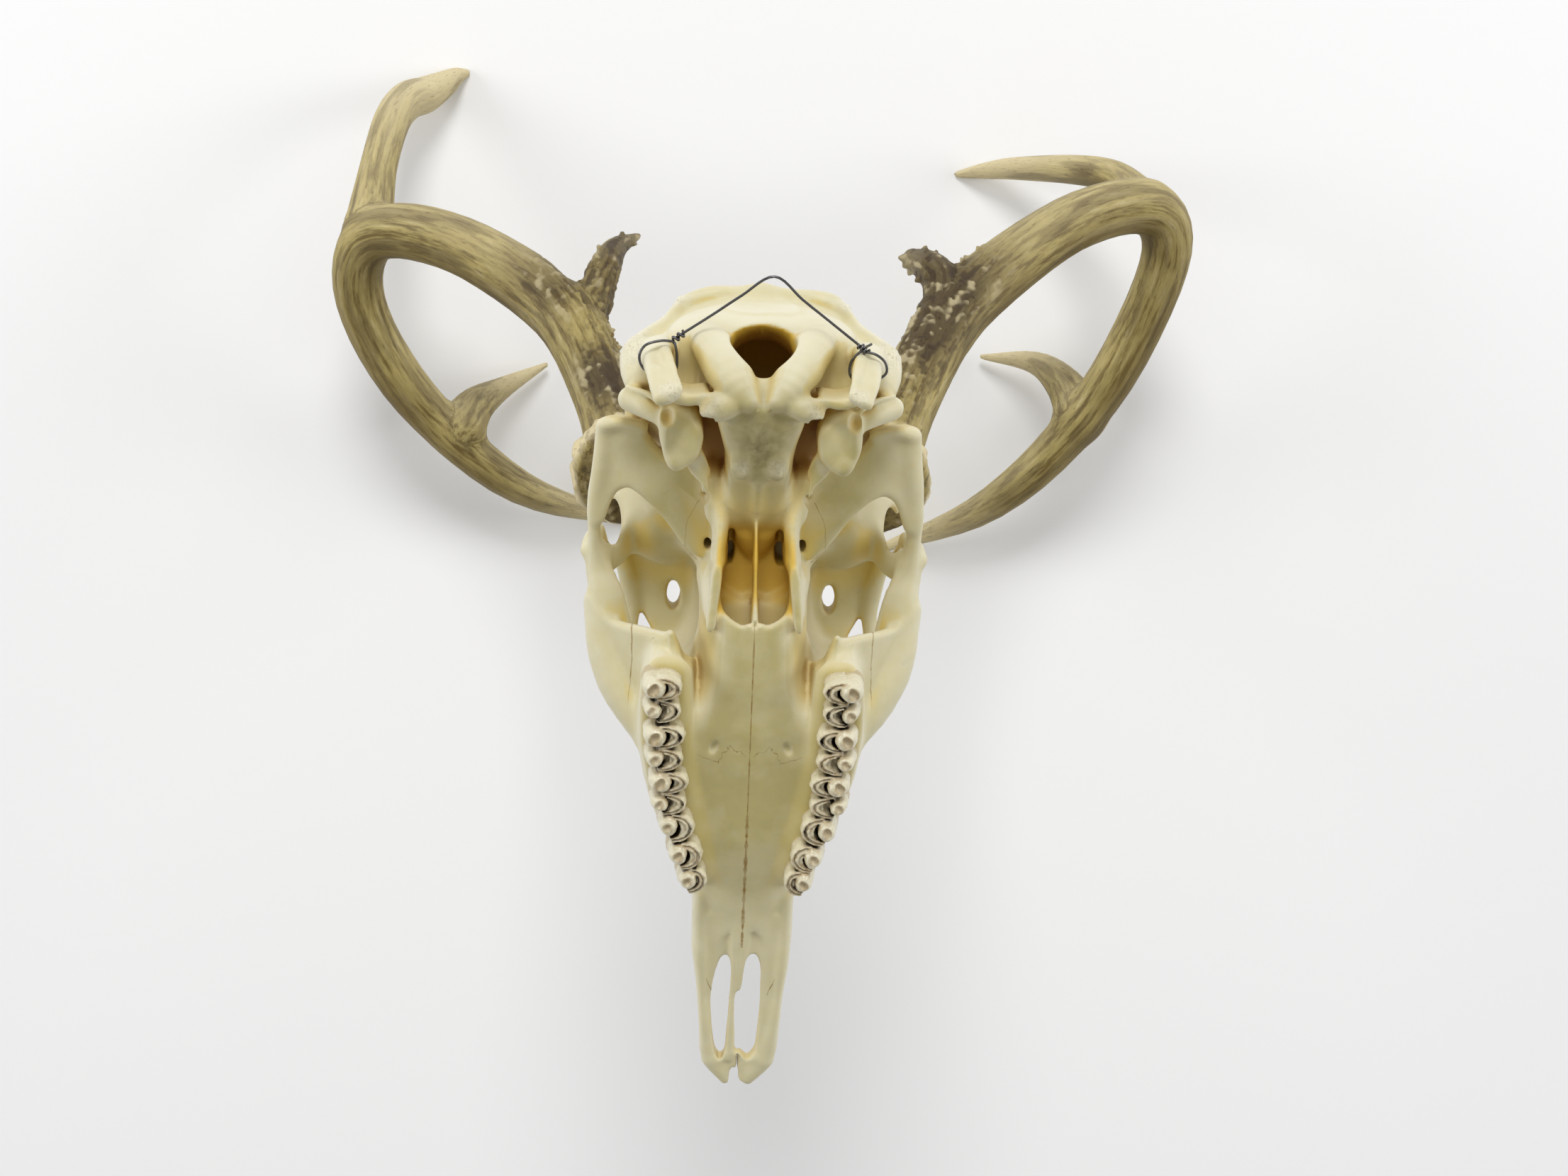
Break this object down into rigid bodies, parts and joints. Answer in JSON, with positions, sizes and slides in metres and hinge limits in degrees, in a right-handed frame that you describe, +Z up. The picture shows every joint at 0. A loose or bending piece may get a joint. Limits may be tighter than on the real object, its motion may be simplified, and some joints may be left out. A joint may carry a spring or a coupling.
{
  "type": "deer skull",
  "caption": "White-tailed deer skull with branched antlers and a hanging wire, lying palate up on its antler tips.",
  "frame": {"origin": "middle of the footprint, on the floor that the antler tips rest on", "axes": "+Z up, the palate side; -Y towards the nose; +X to the skull's own right"},
  "size_m": [0.371, 0.3915, 0.3267],
  "materials": {
    "bone": "matte",
    "antler": "matte",
    "wire": "satin"
  },
  "bodies": {
    "root": {"braincase": "bone", "face": "bone", "snout": "bone", "incisive_bone_left": "bone", "incisive_bone_right": "bone", "zygomatic_arch_left": "bone", "zygomatic_arch_right": "bone", "antler_left_lower_beam": "antler", "antler_left_middle_beam": "antler", "antler_left_end_beam": "antler", "antler_left_brow_tine": "antler", "antler_left_second_tine": "antler", "antler_left_third_tine": "antler", "antler_right_lower_beam": "antler", "antler_right_middle_beam": "antler", "antler_right_end_beam": "antler", "antler_right_brow_tine": "antler", "antler_right_second_tine": "antler", "antler_right_third_tine": "antler", "hanging_wire": "wire"}
  },
  "joints": []
}
